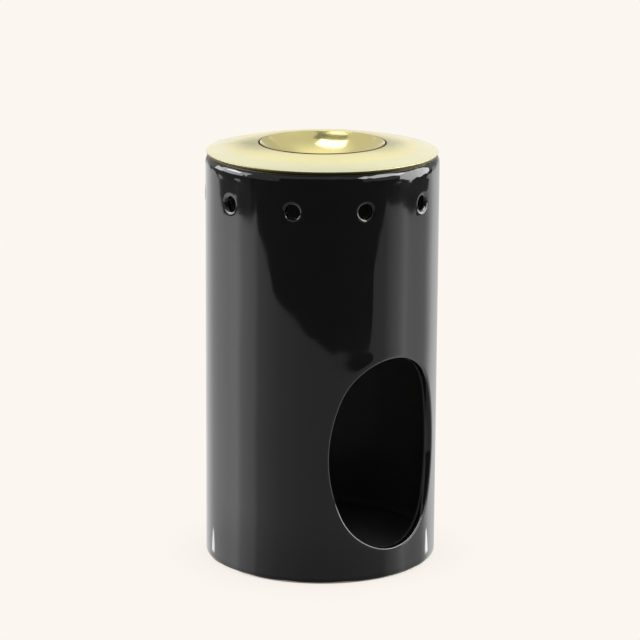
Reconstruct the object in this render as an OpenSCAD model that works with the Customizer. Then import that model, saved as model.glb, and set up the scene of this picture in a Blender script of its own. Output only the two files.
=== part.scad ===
// Oil burner: a ceramic cylinder with an oval window for a tealight, a lift-off cover and a drop-in bowl.
// Millimetres. Z is up, the table is at Z = 0 and the window faces -Y.

/* [Body] */
// Outside diameter of the ceramic body
body_d = 88; // [84:1:104]
// Height of the body's rim above the table
body_h = 155.4; // [140:0.2:180]
// Thickness of the ceramic wall
wall = 3.2; // [2.8:0.2:4]
// Height of the chamber floor above the table
floor_z = 7; // [5:0.5:8]
// Radius of the rounded shoulder under the cover
shoulder_r = 2.4; // [1.6:0.2:3]
// Radius of the rounded edge at the base
base_r = 2.4; // [1:0.2:4]
// Radius of the fillet between the chamber floor and the wall
floor_fillet_r = 3; // [1:0.5:4]

/* [Foot] */
// Width of the flat ring that stands on the table
foot_w = 6; // [4:0.5:10]
// Depth of the recess inside the foot ring
foot_recess = 1.6; // [0.8:0.2:2]

/* [Window] */
// Width of the oval window
window_w = 49.2; // [46:0.2:54]
// Height of the oval window
window_h = 72.8; // [66:0.2:90]
// Height of the window's lowest point above the table
window_sill = 12; // [10:0.2:16]
// Radius of the window's rounded ends
window_end_r = 22; // [16:0.2:22.6]

/* [Vents] */
// Number of vents round the body
vent_n = 10; // [6:1:14]
// Diameter of a vent
vent_d = 5; // [4:0.5:7]
// Distance from the body's rim down to the middle of the vents
vent_drop = 14.2; // [11:0.2:24]
// Angle of the first vent from the middle of the window, in degrees
vent_turn = -16.6; // [-18:0.2:18]

/* [Cover] */
// Thickness of the cover's metal
cover_t = 1; // [0.8:0.1:1.2]
// Distance that the cover's edge stands in from the body's outside
cover_inset = 0.6; // [0.2:0.1:1]
// Rise of the cover from its edge to its crest
cover_rise = 3.1; // [2.6:0.1:5]
// Bulge of the cover above a straight cone
cover_crown = 0.4; // [0.1:0.1:0.6]
// Depth of the collar that centres the cover in the body
collar_h = 5; // [3:0.5:7]
// Gap between the collar and the body
collar_gap = 0.4; // [0.3:0.1:0.8]

/* [Bowl] */
// Diameter of the bowl over its lip
bowl_d = 47.6; // [40:0.2:56]
// Depth of the bowl
bowl_depth = 9.6; // [7:0.2:12]
// Thickness of the bowl's metal
bowl_t = 1; // [0.8:0.1:1.2]
// Height of the lip's outer edge, which rests on the cover's ledge
lip_h = 1.6; // [1.4:0.1:2]
// Radius of the lip's rounded top
lip_r = 3; // [2:0.25:4]
// Gap round the bowl's lip
bowl_gap = 0.3; // [0.2:0.1:0.5]

/* [Tealight] */
// Diameter of the tealight over its rolled rim
tealight_d = 38; // [36:0.5:39]
// Height of the tealight's cup
tealight_h = 15; // [12:0.5:17]
// Thickness of the cup's sheet
cup_t = 0.3; // [0.2:0.05:0.5]
// Diameter of the cup's rolled rim
cup_bead_d = 1; // [0.8:0.1:1.4]
// Radius of the cup's lower edge
cup_edge_r = 1.5; // [1:0.25:2]
// Distance from the cup's rim down to the wax
wax_drop = 2.4; // [1.5:0.1:4]
// Diameter of the wick
wick_d = 1.6; // [1.2:0.1:2]
// Length of wick above the wax
wick_out = 8; // [5:0.5:10]
// Diameter of the sustainer's disc
sustainer_d = 13; // [10:0.5:16]
// Thickness of the sustainer's disc
sustainer_t = 0.3; // [0.2:0.05:0.5]
// Height of the sustainer's neck above its disc
sustainer_neck_h = 3; // [2:0.5:5]
// Thickness of the sustainer's neck
sustainer_neck_t = 0.5; // [0.3:0.1:0.8]
// Gap between the pieces that are cast into the wax
cast_gap = 0.05; // [0.03:0.01:0.1]
// Gap between the tealight and the chamber wall
tealight_gap = 7; // [5:0.5:9]
// Direction of the tealight from the chamber's middle, in degrees from +X
tealight_turn = 143; // [120:1:160]

/* [Hidden] */
$fn = 96;
// Overlap that keeps a cut from ending on a face
over = 1;
// Straight steps in the cover's crown
crown_steps = 16;

body_r = body_d / 2;
chamber_r = body_r - wall;
foot_r = body_r - base_r;

window_a = window_w / 2;
window_b = window_h / 2;
window_z = window_sill + window_b;
window_end_c = window_b - window_end_r;
window_side_r = (window_a ^ 2 + window_b ^ 2 - 2 * window_b * window_end_r) / 2 / (window_a - window_end_r);
window_side_c = window_side_r - window_a;
window_join = window_end_c * window_side_r / (window_side_r - window_end_r);

vent_z = body_h - vent_drop;

cover_r = body_r - cover_inset;
cover_edge_c = cover_r - cover_t / 2;
cover_edge_z = body_h + cover_t;
crest_z = cover_edge_z + cover_rise;
seat_r = bowl_d / 2 + bowl_gap;
seat_wall_r = seat_r + cover_t;
ledge_z = crest_z - lip_h;
collar_r = chamber_r - collar_gap;
collar_share = (cover_edge_c - collar_r) / (cover_edge_c - seat_r);

// The bowl's inside is a sphere that meets the lip's round at the angle bowl_turn
bowl_turn = 2 * atan(bowl_depth / (bowl_d / 2));
bowl_in_r = bowl_d / 2 / sin(bowl_turn) - lip_r;
bowl_out_r = bowl_in_r + bowl_t;
bowl_c = crest_z - bowl_depth + bowl_in_r;
bowl_meet_z = bowl_c - bowl_in_r * cos(bowl_turn);
bowl_neck_r = sqrt(bowl_out_r ^ 2 - (bowl_c - ledge_z) ^ 2);
ledge_r = bowl_neck_r + bowl_gap;

tealight_r = tealight_d / 2;
tealight_off = chamber_r - tealight_r - tealight_gap;
cup_mid_r = tealight_r - cup_bead_d / 2;
cup_out_r = cup_mid_r + cup_t / 2;
cup_in_r = cup_mid_r - cup_t / 2;
wax_z = tealight_h - wax_drop;
sustainer_z = cup_t + sustainer_t;
sustainer_bore_d = wick_d + 2 * cast_gap;
sustainer_neck_d = sustainer_bore_d + 2 * sustainer_neck_t;

// Half-section of a round slab, from the axis out to r, with its outer corners rounded
module slab(r, z0, z1, low_r, high_r) {
    translate([0, z0])
        square([r - low_r, z1 - z0 - high_r]);
    translate([0, z0 + low_r])
        square([r, z1 - z0 - low_r - high_r]);
    translate([0, z0 + low_r])
        square([r - high_r, z1 - z0 - low_r]);
    if (low_r > 0)
        translate([r - low_r, z0 + low_r])
            circle(low_r);
    if (high_r > 0)
        translate([r - high_r, z1 - high_r])
            circle(high_r);
}

// Four-arc oval, upright, with its middle at the origin
module oval() {
    for (side = [-1, 1])
        translate([0, side * window_end_c])
            circle(window_end_r);
    intersection() {
        translate([window_side_c, 0])
            circle(window_side_r);
        translate([-window_side_c, 0])
            circle(window_side_r);
        square([window_w + over, 2 * window_join], center = true);
    }
}

module window_cut() {
    translate([0, 0, window_z])
        rotate([90, 0, 0])
            linear_extrude(body_r + over)
                oval();
}

module vent_cuts() {
    for (i = [0 : vent_n - 1])
        rotate([0, 0, vent_turn + i * 360 / vent_n])
            translate([0, over - chamber_r, vent_z])
                rotate([90, 0, 0])
                    cylinder(d = vent_d, h = wall + 2 * over);
}

module burner_body() {
    color([0.04, 0.04, 0.04])
        difference() {
            rotate_extrude()
                difference() {
                    slab(body_r, 0, body_h, base_r, shoulder_r);
                    slab(chamber_r, floor_z, body_h + over, floor_fillet_r, 0);
                    translate([0, -over])
                        square([foot_r - foot_w, foot_recess + over]);
                }
            window_cut();
            vent_cuts();
        }
}

// Point on the cover's top, at a share s of the way from its edge in to its crest
function crown(s) = [
    cover_edge_c + (seat_r - cover_edge_c) * s,
    cover_edge_z + cover_rise * s + 4 * cover_crown * s * (1 - s)
];

module cover_section() {
    top = [for (i = [0 : crown_steps]) crown(i / crown_steps)];
    under = [for (i = [0 : crown_steps]) crown(1 - (1 - collar_share) * i / crown_steps) - [0, cover_t]];
    collar_top = crown(collar_share)[1] - cover_t / 2;
    polygon(concat(top, under, [[collar_r, body_h], [cover_edge_c, body_h]]));
    translate([cover_edge_c, body_h + cover_t / 2])
        circle(d = cover_t);
    translate([collar_r - cover_t, body_h - collar_h])
        square([cover_t, collar_top - body_h + collar_h]);
    translate([seat_r, ledge_z - cover_t])
        square([cover_t, lip_h + cover_t / 2]);
    translate([ledge_r, ledge_z - cover_t])
        square([seat_wall_r - ledge_r, cover_t]);
}

module top_cover() {
    color([0.88, 0.83, 0.5])
        rotate_extrude()
            cover_section();
}

module oil_bowl() {
    color([0.88, 0.83, 0.5])
        rotate_extrude()
            difference() {
                union() {
                    intersection() {
                        translate([0, bowl_c])
                            circle(bowl_out_r);
                        translate([0, bowl_c - bowl_out_r])
                            square([bowl_d / 2, ledge_z - bowl_c + bowl_out_r]);
                    }
                    translate([0, ledge_z])
                        square([bowl_d / 2, lip_h]);
                }
                intersection() {
                    translate([0, bowl_c])
                        circle(bowl_in_r);
                    translate([0, bowl_c - bowl_out_r])
                        square([bowl_d / 2, bowl_meet_z - bowl_c + bowl_out_r]);
                }
                difference() {
                    translate([0, bowl_meet_z])
                        square([bowl_d / 2, crest_z - bowl_meet_z + over]);
                    translate([bowl_d / 2, crest_z - lip_r])
                        circle(lip_r);
                }
            }
}

// Places the tealight's pieces on the chamber floor
module at_tealight() {
    translate([tealight_off * cos(tealight_turn), tealight_off * sin(tealight_turn), floor_z])
        children();
}

module tealight_cup() {
    color([0.8, 0.81, 0.82])
        at_tealight()
            rotate_extrude() {
                difference() {
                    slab(cup_out_r, 0, tealight_h - cup_bead_d / 2, cup_edge_r, 0);
                    slab(cup_in_r, cup_t, tealight_h, cup_edge_r - cup_t, 0);
                }
                translate([cup_mid_r, tealight_h - cup_bead_d / 2])
                    circle(d = cup_bead_d);
            }
}

// The sustainer's outside, grown by a gap
module sustainer_form(gap) {
    translate([0, 0, cup_t])
        cylinder(d = sustainer_d + 2 * gap, h = sustainer_t + gap);
    translate([0, 0, cup_t])
        cylinder(d = sustainer_neck_d + 2 * gap, h = sustainer_t + sustainer_neck_h + gap);
}

module tealight_wax() {
    color([0.95, 0.93, 0.86])
        at_tealight()
            difference() {
                rotate_extrude()
                    slab(cup_in_r - cast_gap, cup_t, wax_z, cup_edge_r - cup_t, 0);
                sustainer_form(cast_gap);
                cylinder(d = wick_d + 2 * cast_gap, h = wax_z + over);
            }
}

module tealight_wick() {
    color([0.93, 0.9, 0.82])
        at_tealight()
            translate([0, 0, sustainer_z])
                cylinder(d = wick_d, h = wax_z - sustainer_z + wick_out);
}

module wick_sustainer() {
    color([0.7, 0.71, 0.72])
        at_tealight()
            difference() {
                sustainer_form(0);
                translate([0, 0, sustainer_z])
                    cylinder(d = sustainer_bore_d, h = sustainer_neck_h + over);
            }
}

burner_body();
top_cover();
oil_bowl();
tealight_cup();
tealight_wax();
tealight_wick();
wick_sustainer();
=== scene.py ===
"""Black glazed oil burner with a gold cover and bowl and a tealight inside, dressed over its CAD frame."""
import math

import bmesh
import bpy
from mathutils import Matrix, Vector


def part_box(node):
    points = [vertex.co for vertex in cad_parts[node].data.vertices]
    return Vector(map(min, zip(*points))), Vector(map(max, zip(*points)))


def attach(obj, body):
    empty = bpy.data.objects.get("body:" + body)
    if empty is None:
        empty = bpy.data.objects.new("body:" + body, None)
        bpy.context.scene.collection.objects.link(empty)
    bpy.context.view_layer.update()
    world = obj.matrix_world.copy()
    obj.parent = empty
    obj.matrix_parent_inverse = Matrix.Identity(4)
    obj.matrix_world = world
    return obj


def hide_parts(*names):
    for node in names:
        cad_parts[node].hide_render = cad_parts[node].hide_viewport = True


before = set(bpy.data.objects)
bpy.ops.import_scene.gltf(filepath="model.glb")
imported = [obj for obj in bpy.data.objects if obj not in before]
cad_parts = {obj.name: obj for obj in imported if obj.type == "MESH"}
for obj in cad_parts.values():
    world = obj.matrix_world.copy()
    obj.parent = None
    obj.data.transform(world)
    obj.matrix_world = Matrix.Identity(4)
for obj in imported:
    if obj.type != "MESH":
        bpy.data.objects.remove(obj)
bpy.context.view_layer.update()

MM = 0.001

# Columns round a turned piece
SEGMENTS = 240
CUP_SEGMENTS = 120
WAX_SEGMENTS = 96

# Body
BODY_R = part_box("burner_body")[1].x
BODY_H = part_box("burner_body")[1].z
GLAZE_BEAD = 0.08 * MM          # thicker glaze round the window
BEAD_RINGS = 3.5                # rings of faces over which the bead dies away
WALL_R = BODY_R - GLAZE_BEAD - 0.01 * MM
CHAMBER_R = BODY_R - 3.2 * MM
ON_WALL = 0.3 * MM              # a face this near to a wall belongs to it
FLOOR_Z = 7.0 * MM
FLOOR_FILLET = 3.0 * MM
FOOT_R = 35.6 * MM
FOOT_RECESS = 1.6 * MM
FOOT_ROUND = 2.4 * MM
SHOULDER = 3.0 * MM

# Window: an oval of four arcs
WINDOW_A = 24.6 * MM
WINDOW_B = 36.4 * MM
WINDOW_Z = 12.0 * MM + WINDOW_B
WINDOW_END_R = 22.0 * MM
WINDOW_END_C = WINDOW_B - WINDOW_END_R
WINDOW_SIDE_R = (
    (WINDOW_A ** 2 + WINDOW_B ** 2 - 2 * WINDOW_B * WINDOW_END_R) / 2 / (WINDOW_A - WINDOW_END_R))
WINDOW_SIDE_C = WINDOW_SIDE_R - WINDOW_A
WINDOW_JOIN = WINDOW_END_C * WINDOW_SIDE_R / (WINDOW_SIDE_R - WINDOW_END_R)
WINDOW_ROUND = 0.9 * MM
WINDOW_ROUND_INSIDE = 0.6 * MM

# Vents
VENT_COUNT = 10
VENT_R = 2.5 * MM
VENT_Z = 141.2 * MM
VENT_TURN = math.radians(-16.6)
VENT_ROUND = 1.6 * MM
VENT_ROUND_INSIDE = 0.5 * MM
COLUMN_TURN = math.remainder(VENT_TURN, math.tau / SEGMENTS)  # brings a column to the middle of each vent

# Faces that make way for a hole: half of the angle and half of the height that they take
WINDOW_BLOCK = (math.radians(42), 43.0 * MM)
WINDOW_BLOCK_INSIDE = (math.radians(42), 38.0 * MM)
VENT_BLOCK = (math.radians(7), 5.4 * MM)

# Room between the last full ring of faces and a hole's outline
WINDOW_MARGIN = 1.8 * MM
WINDOW_MARGIN_INSIDE = 1.2 * MM
VENT_MARGIN = 1.9 * MM

# Cover
COVER_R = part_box("top_cover")[1].x
CREST_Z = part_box("top_cover")[1].z
EDGE_Z = BODY_H + 1.0 * MM
UNDERCUT_Z = EDGE_Z - 0.15 * MM
UNDERCUT = 0.35 * MM
CROWN = 0.4 * MM
SHEET = 1.0 * MM
SHEET_ROUND = 0.3 * MM
COLLAR_R = CHAMBER_R - 0.4 * MM
COLLAR_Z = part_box("top_cover")[0].z
SEAT_R = 23.95 * MM
SEAT_DROP = 0.16 * MM           # below the bowl's lip
LEDGE_R = 22.671 * MM
LEDGE_Z = 157.9 * MM
PAINTED_SHEEN_RIM = (32.5 * MM, 38.5 * MM)  # where a painted paler sheen grows towards the edge

# Bowl
BOWL_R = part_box("oil_bowl")[1].x - 0.3 * MM     # leaves a seam in which painted shade and tarnished gold show
SEAM_R = (BOWL_R + SEAT_R) / 2
SEAM = (SEAT_R - BOWL_R) / 2
BOWL_DEPTH = 9.6 * MM
BOWL_MEET = 2 * math.atan(BOWL_DEPTH / BOWL_R)
LIP_R = 0.5 * MM
BOWL_IN_R = BOWL_R / math.sin(BOWL_MEET) - LIP_R
BOWL_IN_C = CREST_Z - BOWL_DEPTH + BOWL_IN_R
BOWL_OUT_R = 32.302 * MM
BOWL_OUT_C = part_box("oil_bowl")[0].z + BOWL_OUT_R

# Tealight
TEALIGHT = Vector((-11.82, 8.907, 7.0)) * MM
CUP_WALL_R = 18.5 * MM
CUP_H = 15.0 * MM
CUP_SHEET = 0.3 * MM
BEAD_R = 0.5 * MM
WAX_H = 12.6 * MM
WAX_CLIMB = 0.35 * MM           # up the cup's wall
WAX_DIP = 0.7 * MM              # at the wick
WICK_LOW = 3.3 * MM
WICK_H = 20.6 * MM
STRANDS = 3
STRAND_R = 0.42 * MM
TWIST_R = 0.37 * MM
TWIST_TURNS = 2.5
TWIST_STEPS = 60

# Photograph's view: the camera's place is given before the studio is turned to face the window's side
STUDIO = Matrix.Rotation(math.radians(-38.1), 4, "Z")
CAMERA = (-0.0005, -1.1583, 0.3744)
PITCH = math.radians(13.751)
ROLL = math.radians(0.366)
LENS = 177.1
SENSOR = 36
PALE = (0.973, 0.922, 0.880, 1)
CONTACT_SHADE = (0.86, 0.81, 0.77, 1)
CONTACT_REACH = 0.03

# Table: points along its wavy edges, the front by place across and the sides by place along
TABLE_FRONT = (
    (-0.70, -0.30), (-0.45, -0.365), (-0.05, -0.417), (0.10, -0.382), (0.32, -0.288), (0.50, -0.372),
    (0.72, -0.32))
TABLE_LEFT = ((-0.33, -0.655), (0.0, -0.722), (0.3, -0.665), (2.0, -0.67))
TABLE_RIGHT = ((-0.33, 0.66), (-0.08, 0.72), (0.1, 0.70), (0.45, 0.62), (2.0, 0.62))
TABLE_BACK = 2.0
TABLE_SPREAD = 1.4              # width of the front edge

# Painted light: the table's brightness as the wall shows it, by the square of the way from the wall's middle
# to its edge
TABLE_PEAK = 2.7
TABLE_LIGHT_LEFT = (
    (0.0, 0.45), (0.13, 0.57), (0.285, 0.85), (0.325, 1.33), (0.46, 1.65), (0.5, 2.1), (0.535, 2.2),
    (0.64, 1.75), (0.80, 1.3), (0.85, 1.25), (0.92, 1.4), (1.0, 1.25))
TABLE_LIGHT_RIGHT = (
    (0.0, 0.45), (0.13, 0.50), (0.285, 0.55), (0.34, 0.85), (0.42, 1.2), (0.5, 1.75), (0.55, 1.4),
    (0.64, 1.1), (0.76, 0.85), (0.80, 1.0), (0.83, 1.25), (0.86, 1.45), (0.89, 1.6), (0.94, 1.3), (1.0, 0.75))
MIRROR_STEPS = 4

# Painted glints low on the wall, shown from bright spots painted on the table: their place on the way from
# its middle to its edge, and the table that they show
GLINT_ACROSS = 0.925
GLINT_STARTS = (0.049, 0.052)
GLINT_ENDS = (0.068, 0.075)
GLINT_WIDTHS = (0.016, 0.005)
GLINT_GAIN = 2.6

# Studio
SIDE_WALL = 2.0
OVER_TURN = math.radians(-26)


# Shapes

class Section:
    """Half-section of a turned piece, drawn as a wire in the XZ plane and spun round Z."""

    def __init__(self, r, z):
        self.bm = bmesh.new()
        self.tip = self.bm.verts.new((r, 0, z))
        self.first = self.tip
        self.rounds = []

    def line(self, r, z, rows=1):
        """Runs straight to a point in that many rows."""
        start = self.tip.co.copy()
        for row in range(1, rows + 1):
            self.tip = bmesh.ops.extrude_vert_indiv(self.bm, verts=[self.tip])["verts"][0]
            self.tip.co = start.lerp((r, 0, z), row / rows)
        return self

    def arc(self, r, z, angle, steps):
        """Swings round a centre. A positive angle turns from +Z towards +X."""
        run = bmesh.ops.spin(
            self.bm, geom=[self.tip], cent=(r, 0, z), axis=(0, 1, 0), angle=angle, steps=steps)
        self.tip = run["geom_last"][0]
        return self

    def bow(self, r, z, rise, steps):
        """Runs to a point in a shallow arc that bulges to the left by rise."""
        start = self.tip.co.copy()
        chord = Vector((r, 0, z)) - start
        radius = chord.length ** 2 / (8 * rise) + rise / 2
        side = Vector((-chord.z, 0, chord.x)).normalized()
        centre = start + chord / 2 + side * (rise - radius)
        return self.arc(centre.x, centre.z, 2 * math.asin(chord.length / 2 / radius), steps)

    def round(self, size, steps):
        """Marks the point just drawn for rounding."""
        self.rounds.append((self.tip, size, steps))
        return self

    def close(self):
        """Joins the last point to the first."""
        self.bm.edges.new((self.tip, self.first))
        return self

    def turn(self, columns=SEGMENTS):
        """Rounds the marked corners and spins the section all the way round."""
        for corner, size, steps in self.rounds:
            bmesh.ops.bevel(
                self.bm, geom=[corner], offset=size, offset_type="OFFSET", segments=steps,
                profile=0.5, affect="VERTICES", material=-1)
        bmesh.ops.spin(
            self.bm, geom=self.bm.verts[:] + self.bm.edges[:], cent=(0, 0, 0), axis=(0, 0, 1),
            angle=math.tau, steps=columns, use_merge=True)
        bmesh.ops.remove_doubles(self.bm, verts=self.bm.verts[:], dist=1e-7)
        bmesh.ops.recalc_face_normals(self.bm, faces=self.bm.faces[:])
        return self.bm


def open_hole(bm, wall_r, facing, z, block, reach, rings, margin, narrow=1.0, bead=0.0):
    """Takes a block of faces out of a wall and draws the gap in to the hole's outline, along the hole's axis.

    The gap comes within the margin of the outline in that many rings, and reaches it in one more. Narrow is
    the outline's share of its width at this wall. The last rings swell out by the bead.
    """
    across = Vector((math.cos(facing), math.sin(facing), 0))
    out = Vector((math.sin(facing), -math.cos(facing), 0))
    taken = set()
    for face in bm.faces:
        middle = face.calc_center_median()
        turn = math.atan2(middle.dot(across), middle.dot(out))
        on_wall = abs(middle.xy.length - wall_r) < ON_WALL
        if on_wall and abs(turn) < block[0] and abs(middle.z - z) < block[1]:
            taken.add(face)
    rim = [e for f in taken for e in f.edges if not taken.issuperset(e.link_faces)]
    bmesh.ops.delete(bm, geom=list(taken), context="FACES")
    for left in range(rings, -1, -1):
        grown = bmesh.ops.extrude_edge_only(bm, edges=rim)["geom"]
        rim = [g for g in grown if isinstance(g, bmesh.types.BMEdge)]
        for vert in (g for g in grown if isinstance(g, bmesh.types.BMVert)):
            side = vert.co.dot(across) / narrow
            rise = vert.co.z - z
            far = math.hypot(side, rise)
            goal = reach(side / far, rise / far) + (margin if left else 0)
            share = 1 + (goal / far - 1) / max(left, 1)
            side *= share * narrow
            swell = bead * max(0, 1 - max(left - 1, 0) / BEAD_RINGS)
            depth = math.sqrt(wall_r ** 2 - side ** 2) + swell
            vert.co = across * side + out * depth + Vector((0, 0, z + rise * share))
    return rim


def window_reach(side, rise):
    """Distance from the window's middle to its outline in a direction."""
    along = abs(rise) * WINDOW_END_C
    far = along + math.sqrt(along ** 2 - WINDOW_END_C ** 2 + WINDOW_END_R ** 2)
    if abs(rise) * far >= WINDOW_JOIN:
        return far
    along = -abs(side) * WINDOW_SIDE_C
    return along + math.sqrt(along ** 2 - WINDOW_SIDE_C ** 2 + WINDOW_SIDE_R ** 2)


def vent_reach(side, rise):
    """Distance from a vent's middle to its outline, the same in every direction."""
    return VENT_R


def soften(bm, edges, size, steps):
    """Rounds the rim of a hole."""
    bmesh.ops.bevel(
        bm, geom=edges, offset=size, offset_type="OFFSET", segments=steps, profile=0.5,
        affect="EDGES", material=-1, clamp_overlap=True)


def keep_within(bm, wall_r):
    """Brings points that a bevel pushed out of the wall back to it."""
    for vert in bm.verts:
        vert.co.xy *= min(1, wall_r / max(vert.co.xy.length, MM))


def burner_body():
    """The fired cylinder: wall, floor and foot, with the window and the ring of vents cut through."""
    section = Section(0, FOOT_RECESS)
    section.line(FOOT_R, FOOT_RECESS, 2).round(0.6 * MM, 3)
    section.line(FOOT_R, 0).round(0.5 * MM, 3)
    section.line(WALL_R, 0).round(FOOT_ROUND, 6)
    section.line(WALL_R, WINDOW_Z - WINDOW_BLOCK[1], 2)
    section.line(WALL_R, WINDOW_Z + WINDOW_BLOCK[1], 28)
    section.line(WALL_R, VENT_Z - VENT_BLOCK[1], 8)
    section.line(WALL_R, VENT_Z + VENT_BLOCK[1], 8)
    section.line(WALL_R, BODY_H, 2).round(SHOULDER, 8)
    section.line(CHAMBER_R, BODY_H).round(0.8 * MM, 3)
    section.line(CHAMBER_R, VENT_Z + VENT_BLOCK[1], 2)
    section.line(CHAMBER_R, VENT_Z - VENT_BLOCK[1], 8)
    section.line(CHAMBER_R, WINDOW_Z + WINDOW_BLOCK_INSIDE[1], 8)
    section.line(CHAMBER_R, WINDOW_Z - WINDOW_BLOCK_INSIDE[1], 28)
    section.line(CHAMBER_R, FLOOR_Z).round(FLOOR_FILLET, 6)
    section.line(0, FLOOR_Z, 8)
    bm = section.turn()
    bmesh.ops.rotate(bm, verts=bm.verts[:], cent=(0, 0, 0), matrix=Matrix.Rotation(COLUMN_TURN, 3, "Z"))

    for k in range(VENT_COUNT):
        facing = VENT_TURN + k * math.tau / VENT_COUNT
        outside, inside = (
            open_hole(bm, wall_r, facing, VENT_Z, VENT_BLOCK, vent_reach, 2, VENT_MARGIN)
            for wall_r in (WALL_R, CHAMBER_R))
        bmesh.ops.bridge_loops(bm, edges=outside + inside)
        soften(bm, outside, VENT_ROUND, 6)
        soften(bm, inside, VENT_ROUND_INSIDE, 2)
    keep_within(bm, WALL_R)

    outside = open_hole(
        bm, WALL_R, 0, WINDOW_Z, WINDOW_BLOCK, window_reach, 7, WINDOW_MARGIN,
        WALL_R / BODY_R, GLAZE_BEAD)
    inside = open_hole(
        bm, CHAMBER_R, 0, WINDOW_Z, WINDOW_BLOCK_INSIDE, window_reach, 4, WINDOW_MARGIN_INSIDE,
        CHAMBER_R / BODY_R)
    bmesh.ops.bridge_loops(bm, edges=outside + inside)
    soften(bm, outside, WINDOW_ROUND, 4)
    soften(bm, inside, WINDOW_ROUND_INSIDE, 3)
    keep_within(bm, WALL_R + GLAZE_BEAD)
    bmesh.ops.recalc_face_normals(bm, faces=bm.faces[:])
    return bm


def top_cover():
    """The domed gold ring: edge, crown, seat for the bowl, and a collar that drops into the body."""
    section = Section(LEDGE_R, LEDGE_Z - SHEET)
    section.line(LEDGE_R, LEDGE_Z).round(0.2 * MM, 2)
    section.line(SEAT_R, LEDGE_Z).round(SHEET_ROUND, 2)
    section.line(SEAT_R, CREST_Z - SEAT_DROP).round(0.15 * MM, 3)
    section.bow(COVER_R, EDGE_Z, CROWN, 24).round(0.07 * MM, 3)
    section.line(COVER_R, UNDERCUT_Z).round(0.05 * MM, 2)
    section.line(COVER_R - UNDERCUT, BODY_H)
    section.line(COLLAR_R, BODY_H).round(SHEET_ROUND, 2)
    section.line(COLLAR_R, COLLAR_Z).round(SHEET_ROUND, 2)
    section.line(COLLAR_R - SHEET, COLLAR_Z).round(SHEET_ROUND, 2)
    section.line(COLLAR_R - SHEET, BODY_H + SHEET).round(0.6 * MM, 3)
    section.bow(SEAT_R + SHEET, CREST_Z - SEAT_DROP - SHEET, -CROWN / 2, 12)
    section.line(SEAT_R + SHEET, LEDGE_Z - SHEET).round(SHEET_ROUND, 2)
    return section.close().turn()


def oil_bowl():
    """The shallow bowl: a spherical hollow with a rolled lip that drops into the cover."""
    lip_under = math.acos((BOWL_OUT_C - LEDGE_Z) / BOWL_OUT_R)
    section = Section(0, BOWL_IN_C - BOWL_IN_R)
    section.arc(0, BOWL_IN_C, -BOWL_MEET, 28)
    section.arc(BOWL_R, CREST_Z - LIP_R, BOWL_MEET, 6).round(0.08 * MM, 3)
    section.line(BOWL_R, LEDGE_Z).round(SHEET_ROUND, 2)
    section.line(BOWL_OUT_R * math.sin(lip_under), LEDGE_Z)
    section.arc(0, BOWL_OUT_C, lip_under, 24)
    return section.turn()


def in_chamber(bm):
    """Takes a piece of the tealight to its place on the chamber's floor."""
    bmesh.ops.translate(bm, verts=bm.verts[:], vec=TEALIGHT)
    return bm


def tealight_cup():
    """The drawn aluminium cup with a bead rolled round its mouth."""
    half = CUP_SHEET / 2
    drop = math.sqrt(BEAD_R ** 2 - half ** 2)
    bead_z = CUP_H - BEAD_R
    section = Section(0, 0)
    section.line(CUP_WALL_R + half, 0, 6).round(1.5 * MM, 5)
    section.line(CUP_WALL_R + half, bead_z - drop, 8)
    section.arc(CUP_WALL_R, bead_z, -(math.tau - 2 * math.asin(half / BEAD_R)), 14)
    section.line(CUP_WALL_R - half, CUP_SHEET, 8).round(1.2 * MM, 5)
    section.line(0, CUP_SHEET, 6)
    return in_chamber(section.turn(CUP_SEGMENTS))


def tealight_wax():
    """The wax: a poured top that dips a little at the wick and climbs the wall of the cup."""
    inner = CUP_WALL_R - CUP_SHEET / 2 - 0.05 * MM
    section = Section(0, CUP_SHEET)
    section.line(inner, CUP_SHEET).round(1.2 * MM, 4)
    section.line(inner, WAX_H)
    section.line(inner - 1.2 * MM, WAX_H - WAX_CLIMB).round(0.7 * MM, 3)
    section.line(5 * MM, WAX_H - WAX_CLIMB, 4)
    section.line(1.0 * MM, WAX_H - WAX_DIP, 3)
    section.line(0, WAX_H - WAX_DIP)
    return in_chamber(section.turn(WAX_SEGMENTS))


def tealight_wick():
    """Waxed cotton strands twisted together."""
    bm = bmesh.new()
    for k in range(STRANDS):
        ring = bmesh.ops.create_circle(bm, cap_ends=True, segments=10, radius=STRAND_R)["verts"]
        bmesh.ops.translate(bm, verts=ring, vec=(TWIST_R, 0, WICK_LOW))
        turn = Matrix.Rotation(k * math.tau / STRANDS, 3, "Z")
        bmesh.ops.rotate(bm, verts=ring, cent=(0, 0, 0), matrix=turn)
        strand = {e for v in ring for e in v.link_edges} | {f for v in ring for f in v.link_faces}
        bmesh.ops.spin(
            bm, geom=ring + list(strand), cent=(0, 0, 0), axis=(0, 0, 1), angle=TWIST_TURNS * math.tau,
            dvec=(0, 0, (WICK_H - WICK_LOW) / TWIST_STEPS), steps=TWIST_STEPS)
    bmesh.ops.recalc_face_normals(bm, faces=bm.faces[:])
    return in_chamber(bm)


# Finishes

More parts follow.
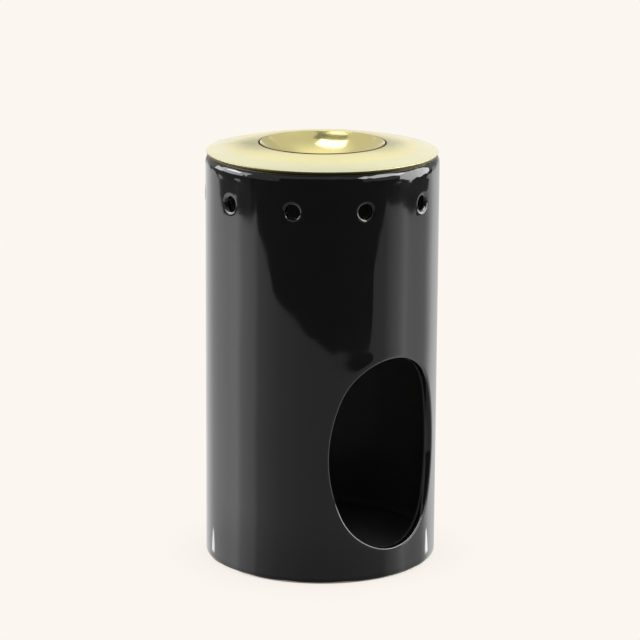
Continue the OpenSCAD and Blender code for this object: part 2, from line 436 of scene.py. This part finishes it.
class Socket:
    """One output of a material's nodes. Arithmetic on it adds Math nodes."""

    def __init__(self, tree, port):
        self.tree = tree
        self.port = port

    def node(self, kind, settings, inputs, output=0):
        """Adds a node with its settings, then its sockets' values or links, and gives one of its outputs."""
        made = self.tree.nodes.new(kind)
        for key, value in settings.items():
            if key == "stops":
                ramp = made.color_ramp.elements
                while len(ramp) < len(value):
                    ramp.new(0.5)
                for stop, (place, colour) in zip(ramp, value):
                    stop.position = place
                    stop.color = colour
            else:
                setattr(made, key, value)
        join(self.tree, made, inputs)
        return Socket(self.tree, made.outputs[output])

    def math(self, operation, *others):
        """Works on this value, and on any others after it."""
        return self.node("ShaderNodeMath", {"operation": operation}, dict(enumerate((self,) + others)))

    def __add__(self, other):
        return self.math("ADD", other)

    def __sub__(self, other):
        return self.math("SUBTRACT", other)

    def __rsub__(self, other):
        return self.node("ShaderNodeMath", {"operation": "SUBTRACT"}, {0: other, 1: self})

    def __mul__(self, other):
        return self.math("MULTIPLY", other)

    def __truediv__(self, other):
        return self.math("DIVIDE", other)

    __radd__ = __add__
    __rmul__ = __mul__

    def span(self, low, high, start=0.0, end=1.0):
        """Eases from start to end as the value goes from low to high."""
        return self.node(
            "ShaderNodeMapRange", {"interpolation_type": "SMOOTHSTEP", "clamp": True},
            {"Value": self, "From Min": low, "From Max": high, "To Min": start, "To Max": end})

    def noise(self, scale, detail=2.0):
        """Noise at this place, from 0 to 1."""
        return self.node("ShaderNodeTexNoise", {}, {"Vector": self, "Scale": scale, "Detail": detail})

    def blend(self, low, high):
        """A colour between two, by this value."""
        return self.node("ShaderNodeMix", {"data_type": "RGBA"}, {0: self, 6: low, 7: high}, 2)

    def part(self, axis):
        """One coordinate of this place."""
        return self.node("ShaderNodeSeparateXYZ", {}, {0: self}, axis)

    def off_axis(self):
        """Distance of this place from the burner's axis."""
        x, y = self.part("X"), self.part("Y")
        return (x * x + y * y).math("SQRT")


def join(tree, node, inputs):
    """Sets or links a node's sockets."""
    for key, value in inputs.items():
        if isinstance(value, Socket):
            tree.links.new(value.port, node.inputs[key])
        else:
            node.inputs[key].default_value = value


def new_finish(name):
    """A new material, its shader and the piece's own coordinates."""
    made = bpy.data.materials.new(name)
    made.use_nodes = True
    tree = made.node_tree
    place = Socket(tree, tree.nodes.new("ShaderNodeTexCoord").outputs["Object"])
    return made, tree.nodes["Principled BSDF"], place


def bumped(height, distance):
    """A bump from a height of 0 to 1 that stands for that distance."""
    return height.node("ShaderNodeBump", {}, {"Strength": 1.0, "Distance": distance, "Height": height})


def black_glaze():
    """Glossy black glaze outside, uneven on the shoulder and duller in the chamber, with a bare clay foot."""
    made, shader, place = new_finish("black_glaze")
    z = place.part("Z")
    inside = place.off_axis().span(CHAMBER_R + 0.4 * MM, CHAMBER_R + 1.4 * MM, 1, 0)
    foot_edge = place.noise(60).span(0.35, 0.65, 0.8 * MM, 1.3 * MM)
    clay = (z - foot_edge).span(-0.1 * MM, 0.1 * MM, 1, 0)
    wave = place.noise(26, 1.0)
    peel = place.noise(420)
    lumps = (place.noise(190, 1.0) - 0.5) * z.span(BODY_H - 2 * SHOULDER, BODY_H - 0.7 * SHOULDER)
    coat = place.noise(180).blend((0.0030, 0.0030, 0.0032, 1), (0.0050, 0.0050, 0.0052, 1))
    colour = inside.blend(coat, (0.08, 0.08, 0.08, 1))
    bare = place.noise(900, 3.0).blend((0.82, 0.78, 0.62, 1), (0.92, 0.89, 0.74, 1))
    gloss = place.noise(90, 3.0).span(0.3, 0.7, 0.035, 0.06) + inside * 0.3
    join(made.node_tree, shader, {
        "Base Color": clay.blend(colour, bare),
        "Roughness": gloss + clay * 0.7,
        "Normal": bumped(wave * 0.9 + peel * 0.005 + lumps * 0.6, 0.45 * MM),
        "IOR": 1.5,
    })
    return made


def gold_metal(name, low, high, roughness, brushed):
    """Gold plating of a tone from low to high, with fine turned marks. Brushed spreads its shine across them.

    It is painted paler towards the cover's rim as a sheen, painted darker at its very edge as shade, and
    painted dark under that edge and in the bowl's seam, as shade and tarnish.
    """
    made, shader, place = new_finish(name)
    radius = place.off_axis()
    marks = radius.node(
        "ShaderNodeTexNoise", {"noise_dimensions": "1D"}, {"W": radius, "Scale": 2600.0, "Detail": 2.0})
    plating = place.noise(70).blend(low, high)
    # Painted reflection: the tone turns paler and cooler towards the rim, standing in for a brighter
    # reflection there
    tone = radius.span(*PAINTED_SHEEN_RIM).blend(plating, (0.885, 0.892, 0.592, 1))
    # Painted shade: the very edge is coloured darker so that it shows no bright reflection
    edge = radius.span(COVER_R - 0.08 * MM, COVER_R - 0.03 * MM)
    shade_darkened_edge = edge.blend(tone, (0.50, 0.47, 0.27, 1))
    # Painted shade under the cover's edge, in the undercut, together with tarnish
    under_edge = (
        place.part("Z").span(UNDERCUT_Z - 0.06 * MM, UNDERCUT_Z, 1, 0)
        * radius.span(COVER_R - 0.6 * MM, COVER_R - 0.4 * MM))
    # Painted shade in the bowl's seam between the pieces, together with tarnish
    seam = (radius - SEAM_R).math("ABSOLUTE").span(SEAM + 0.1 * MM, SEAM + 0.2 * MM, 1, 0)
    shade_and_tarnish = seam + under_edge
    dull = place.noise(140, 3.0).span(0.3, 0.7, roughness - 0.02, roughness + 0.02)
    join(made.node_tree, shader, {
        # Dark brown painted into the seam and under the edge: shade and tarnish
        "Base Color": shade_and_tarnish.blend(shade_darkened_edge, (0.12, 0.085, 0.035, 1)),
        "Roughness": dull + shade_and_tarnish * 0.3 + edge * 0.35,
        "Normal": bumped(marks, 0.003 * MM),
        "Metallic": 1.0,
        "Anisotropic": brushed,
        "Anisotropic Rotation": 0.25,
    })
    return made


def cup_aluminium():
    """Thin drawn foil with soft dents."""
    made, shader, place = new_finish("cup_aluminium")
    join(made.node_tree, shader, {
        "Base Color": place.noise(120).blend((0.76, 0.77, 0.78, 1), (0.84, 0.85, 0.86, 1)),
        "Roughness": place.noise(260, 3.0).span(0.3, 0.7, 0.22, 0.36),
        "Normal": bumped(place.noise(160), 0.3 * MM),
        "Metallic": 1.0,
    })
    return made


def wax():
    """White paraffin wax, cloudy, with a faintly mottled skin."""
    made, shader, place = new_finish("wax")
    join(made.node_tree, shader, {
        "Base Color": place.noise(220, 3.0).blend((0.86, 0.83, 0.75, 1), (0.93, 0.91, 0.85, 1)),
        "Roughness": place.noise(400).span(0.3, 0.7, 0.35, 0.5),
        "Normal": bumped(place.noise(350, 3.0), 0.2 * MM),
        "Subsurface Weight": 0.3,
        "Subsurface Radius": (4 * MM, 3.5 * MM, 3 * MM),
    })
    return made


def wick_cotton():
    """Waxed cotton thread."""
    made, shader, place = new_finish("wick_cotton")
    fibre = place.noise(2500)
    join(made.node_tree, shader, {
        "Base Color": fibre.blend((0.80, 0.75, 0.62, 1), (0.92, 0.89, 0.80, 1)),
        "Roughness": fibre.span(0.2, 0.8, 0.6, 0.85),
        "Normal": bumped(fibre, 0.1 * MM),
    })
    return made


def tin():
    """Stamped tinplate."""
    made, shader, place = new_finish("tin")
    join(made.node_tree, shader, {
        "Base Color": place.noise(500).blend((0.64, 0.65, 0.66, 1), (0.74, 0.75, 0.76, 1)),
        "Roughness": place.noise(800).span(0.3, 0.7, 0.28, 0.42),
        "Normal": bumped(place.noise(900), 0.05 * MM),
        "Metallic": 1.0,
    })
    return made


# Pieces

def new_object(name, bm, material):
    """Makes an object of a finished mesh."""
    mesh = bpy.data.meshes.new(name)
    bm.to_mesh(mesh)
    bm.free()
    mesh.materials.append(material)
    made = bpy.data.objects.new(name, mesh)
    bpy.context.scene.collection.objects.link(made)
    return made


def piece(name, bm, body, slot, material, *nodes):
    """Sets a smooth piece on its CAD body in place of its nodes."""
    for face in bm.faces:
        face.smooth = True
    made = new_object(name, bm, material)
    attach(made, body)
    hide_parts(*nodes)


satin = gold_metal("gold_satin", (0.94, 0.90, 0.45, 1), (0.97, 0.93, 0.49, 1), 0.21, 0.5)
# The bowl's deeper tone is painted light: it stands in for the deepening by the bowl's repeated inner
# reflections
polished = gold_metal("gold_polished", (0.94, 0.83, 0.35, 1), (0.97, 0.86, 0.39, 1), 0.13, 0.0)
piece("body_glazed", burner_body(), "burner", "black_glaze", black_glaze(), "burner_body")
piece("cover_domed", top_cover(), "cover", "gold_metal", satin, "top_cover")
piece("bowl_rolled", oil_bowl(), "bowl", "gold_metal", polished, "oil_bowl")
piece("cup_beaded", tealight_cup(), "tealight", "cup_aluminium", cup_aluminium(), "tealight_cup")
piece("wax_poured", tealight_wax(), "tealight", "wax", wax(), "tealight_wax")
piece("wick_twisted", tealight_wick(), "tealight", "wick_cotton", wick_cotton(), "tealight_wick")
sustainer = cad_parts["wick_sustainer"]
sustainer.data.materials.clear()
sustainer.data.materials.append(tin())


# Studio

def set_up(name, bm, material):
    """Turns a sheet of the studio to face the camera and puts it in the scene."""
    bmesh.ops.transform(bm, verts=bm.verts[:], matrix=STUDIO)
    made = new_object(name, bm, material)
    return made


def stage_finish(name):
    """A new material for a sheet of the studio, still without a shader, and the sheet's own coordinates."""
    made = bpy.data.materials.new(name)
    made.use_nodes = True
    tree = made.node_tree
    tree.nodes.clear()
    return made, Socket(tree, tree.nodes.new("ShaderNodeTexCoord").outputs["Object"])


def show(shader, output="ShaderNodeOutputMaterial"):
    """Makes this shader the one that a material, or the world, shows."""
    out = shader.tree.nodes.new(output)
    join(shader.tree, out, {"Surface": shader})


def grey(level):
    """A colour of that brightness."""
    return (level, level, level, 1)


def glow(name, strength, patch):
    """A light-giving finish. A patch is a soft spot on it: its middle, its radius and its strength."""
    made, place = stage_finish(name)
    colour = grey(strength)
    if patch:
        middle, radius, spot_strength = patch
        spot = STUDIO @ Vector(middle)
        far = place.node("ShaderNodeVectorMath", {"operation": "DISTANCE"}, {0: place, 1: spot}, "Value")
        colour = far.span(0.2 * radius, radius, 1, 0).blend(colour, grey(spot_strength))
    show(place.node("ShaderNodeEmission", {}, {"Color": colour}))
    return made


def panel(name, strength, centre, facing, width, height, turn=0.0, patch=None):
    """A flat sheet of the studio that looks along facing, turned round Z, and that only reflections show."""
    bm = bmesh.new()
    bmesh.ops.create_grid(bm, x_segments=1, y_segments=1, size=0.5)
    bmesh.ops.scale(bm, verts=bm.verts[:], vec=(width, height, 1))
    look = Matrix.Rotation(turn, 4, "Z") @ Vector(facing).to_track_quat("Z", "Y").to_matrix().to_4x4()
    bmesh.ops.transform(bm, verts=bm.verts[:], matrix=Matrix.Translation(centre) @ look)
    set_up(name, bm, glow(name, strength, patch)).visible_camera = False


def toward(place, axis):
    """How far a place lies along one of the studio's own axes."""
    return place.node(
        "ShaderNodeVectorMath", {"operation": "DOT_PRODUCT"}, {0: place, 1: STUDIO.col[axis].xyz}, "Value")


def by_level(share, levels):
    """Painted table light by the square of the way across the wall."""
    stops = [(place, grey(level / TABLE_PEAK)) for place, level in levels]
    return share.node("ShaderNodeValToRGB", {"stops": stops}, {0: share})


def table_finish():
    """White table: pale with a painted soft contact shadow to the eye, and in reflections a painted glow,
    brightest beside the lamps, with painted glints and painted shade by the foot.
    """
    made, place = stage_finish("table")
    eye = Socket(place.tree, place.tree.nodes.new("ShaderNodeLightPath").outputs["Is Camera Ray"])
    open_to_light = place.node(
        "ShaderNodeAmbientOcclusion", {"samples": 8}, {"Distance": CONTACT_REACH}, "AO")
    shaded = open_to_light.span(0, 1).blend(CONTACT_SHADE, PALE)
    seen = place.node("ShaderNodeEmission", {}, {"Color": shaded})

    # Where on the wall the camera sees this place of the table mirrored, as an angle round from its middle
    right, back = toward(place, 0), toward(place, 1)
    near = place.node("ShaderNodeVectorMath", {"operation": "LENGTH"}, {0: place}, "Value")
    round_from_camera = right.math("ABSOLUTE").math("ARCTAN2", back * -1)
    mirror = round_from_camera * 0.5
    for _ in range(MIRROR_STEPS):
        mirror = (round_from_camera + (mirror.math("SINE") * BODY_R / near).math("ARCSINE")) * 0.5
    across = mirror.math("SINE")

    share = across * across
    light = right.span(-0.01, 0.01).blend(
        by_level(share, TABLE_LIGHT_LEFT), by_level(share, TABLE_LIGHT_RIGHT))
    # Painted glints: bright spots painted into the table's glow, seen low on the wall
    width = near.span(GLINT_STARTS[1], GLINT_ENDS[1], *GLINT_WIDTHS)
    beside = (across - GLINT_ACROSS).math("ABSOLUTE") / width
    painted_glint = beside.span(0.4, 1.0, 1, 0) * near.span(*GLINT_STARTS) * near.span(*GLINT_ENDS, 1, 0)
    # Painted shade: the table's glow darkened near the foot, in front
    painted_foot_shade = (near.span(0.043, 0.053, 0.3, 0) + near.span(0.05, 0.13, 0.2, 0)) * across.span(0.8, 0.97, 1, 0)
    colour = light.node(
        "ShaderNodeVectorMath", {"operation": "SCALE"}, {0: light, "Scale": 1 - painted_foot_shade + painted_glint * GLINT_GAIN})
    painted_glow = place.node("ShaderNodeEmission", {}, {"Color": colour, "Strength": TABLE_PEAK})
    show(place.node("ShaderNodeMixShader", {}, {0: eye, 1: painted_glow, 2: seen}))
    return made


def waved(points, place):
    """Eases from point to point."""
    for (start, low), (end, high) in zip(points, points[1:]):
        if place <= end:
            share = max((place - start) / (end - start), 0)
            return low + (high - low) * share * share * (3 - 2 * share)
    return points[-1][1]


def table_top():
    """The table, a sheet with wavy edges."""
    bm = bmesh.new()
    bmesh.ops.create_grid(bm, x_segments=64, y_segments=96, size=0.5)
    for vert in bm.verts:
        across, along = vert.co.x + 0.5, vert.co.y + 0.5
        front = waved(TABLE_FRONT, TABLE_SPREAD * (across - 0.5))
        depth = front + (TABLE_BACK - front) * along
        left, right = waved(TABLE_LEFT, depth), waved(TABLE_RIGHT, depth)
        vert.co = (left + (right - left) * across, depth, 0)
    return bm


def lamp(name, centre, target, width, height, power, turn=0.0, fills=True):
    """A softbox that looks at a point of the studio, turned round Z.

    One that doesn't fill is only there to be reflected.
    """
    data = bpy.data.lights.new(name, "AREA")
    data.shape = "RECTANGLE"
    data.size = width
    data.size_y = height
    data.energy = power
    made = bpy.data.objects.new(name, data)
    look = (Vector(target) - Vector(centre)).to_track_quat("-Z", "Y").to_matrix().to_4x4()
    made.matrix_world = STUDIO @ Matrix.Translation(centre) @ Matrix.Rotation(turn, 4, "Z") @ look
    made.visible_camera = False
    made.visible_diffuse = fills
    bpy.context.scene.collection.objects.link(made)


def studio_world():
    """Pale to the eye and in reflections, and a low even light otherwise."""
    world = bpy.data.worlds.new("studio")
    bpy.context.scene.world = world
    world.use_nodes = True
    tree = world.node_tree
    tree.nodes.clear()
    path = tree.nodes.new("ShaderNodeLightPath")
    eye, glossy, through = (
        Socket(tree, path.outputs[ray]) for ray in ("Is Camera Ray", "Is Glossy Ray", "Is Transmission Ray"))
    shown = eye.math("MAXIMUM", glossy).math("MAXIMUM", through)
    low = eye.node("ShaderNodeBackground", {}, {"Color": PALE, "Strength": 0.3})
    pale = eye.node("ShaderNodeBackground", {}, {"Color": PALE, "Strength": 1.0})
    show(eye.node("ShaderNodeMixShader", {}, {0: shown, 1: low, 2: pale}), "ShaderNodeOutputWorld")


def photograph():
    """The camera, where the photograph's stood."""
    data = bpy.data.cameras.new("photograph")
    data.lens = LENS
    data.sensor_width = SENSOR
    data.clip_start = 0.05
    data.clip_end = 20
    made = bpy.data.objects.new("photograph", data)
    tilt = Matrix.Rotation(math.pi / 2 - PITCH, 4, "X")
    made.matrix_world = STUDIO @ Matrix.Translation(CAMERA) @ tilt @ Matrix.Rotation(ROLL, 4, "Z")
    bpy.context.scene.collection.objects.link(made)
    bpy.context.scene.camera = made


studio_world()
set_up("table_top", table_top(), table_finish())
panel("front_wall", 0.10, (0, -2.2, 0.6), (0, 1, 0), 4.0, 3.0)
panel("under_floor", 0.10, (0, 0, -0.9), (0, 0, 1), 4.0, 4.4)
panel("ceiling", 0.58, (0, 0.25, 2.1), (0, 0, -1), 4.0, 4.9, patch=((-0.02, 1.40, 2.1), 1.2, 0.95))
panel("back_dark", 0.35, (-0.015, 2.4, 0.66), (0, -1, 0), 0.42, 0.4)
panel("back_left", 0.58, (-1.5, 2.6, 1.1), (0, -1, 0), 1.6, 1.9)
panel("back_right", 0.50, (1.5, 2.6, 1.1), (0, -1, 0), 1.6, 1.9)
panel("lamp_frame", 0.2, (-0.19, 0.10, 1.32), (0, 0, -1), 0.68, 0.3, OVER_TURN)
for side, name, low in ((-1, "left", 0.2), (1, "right", 0.12)):
    panel(name + "_wall_front", 0.10, (SIDE_WALL * side, -1.4, -0.45), (-side, 0, 0), 1.6, 0.9)
    panel(name + "_wall_low", low, (SIDE_WALL * side, 0.8, -0.45), (-side, 0, 0), 2.8, 0.9)
    panel(name + "_wall", 0.55, (SIDE_WALL * side, 0, 1.05), (-side, 0, 0), 4.4, 2.1)
lamp("lamp_left", (-0.75, 0.20, 0.44), (0, 0.20, 0.44), 0.7, 0.56, 6)
lamp("lamp_right", (0.75, 0.20, 0.37), (0, 0.20, 0.37), 0.7, 0.70, 9)
lamp("core_left", (-0.70, 0.12, 0.50), (0, 0, 0.15), 0.22, 0.12, 1.0, fills=False)
lamp("core_right", (0.58, -0.24, 0.70), (0, -0.24, 0.15), 0.7, 0.4, 8, fills=False)
lamp("lamp_over", (-0.18, 0.32, 1.30), (-0.18, 0.32, 0), 0.54, 0.22, 1.5, OVER_TURN)
lamp("line_over", (-0.19, -0.10, 1.30), (-0.19, -0.10, 0), 0.90, 0.06, 0.4, OVER_TURN)
photograph()
bpy.context.scene.view_settings.view_transform = "Standard"
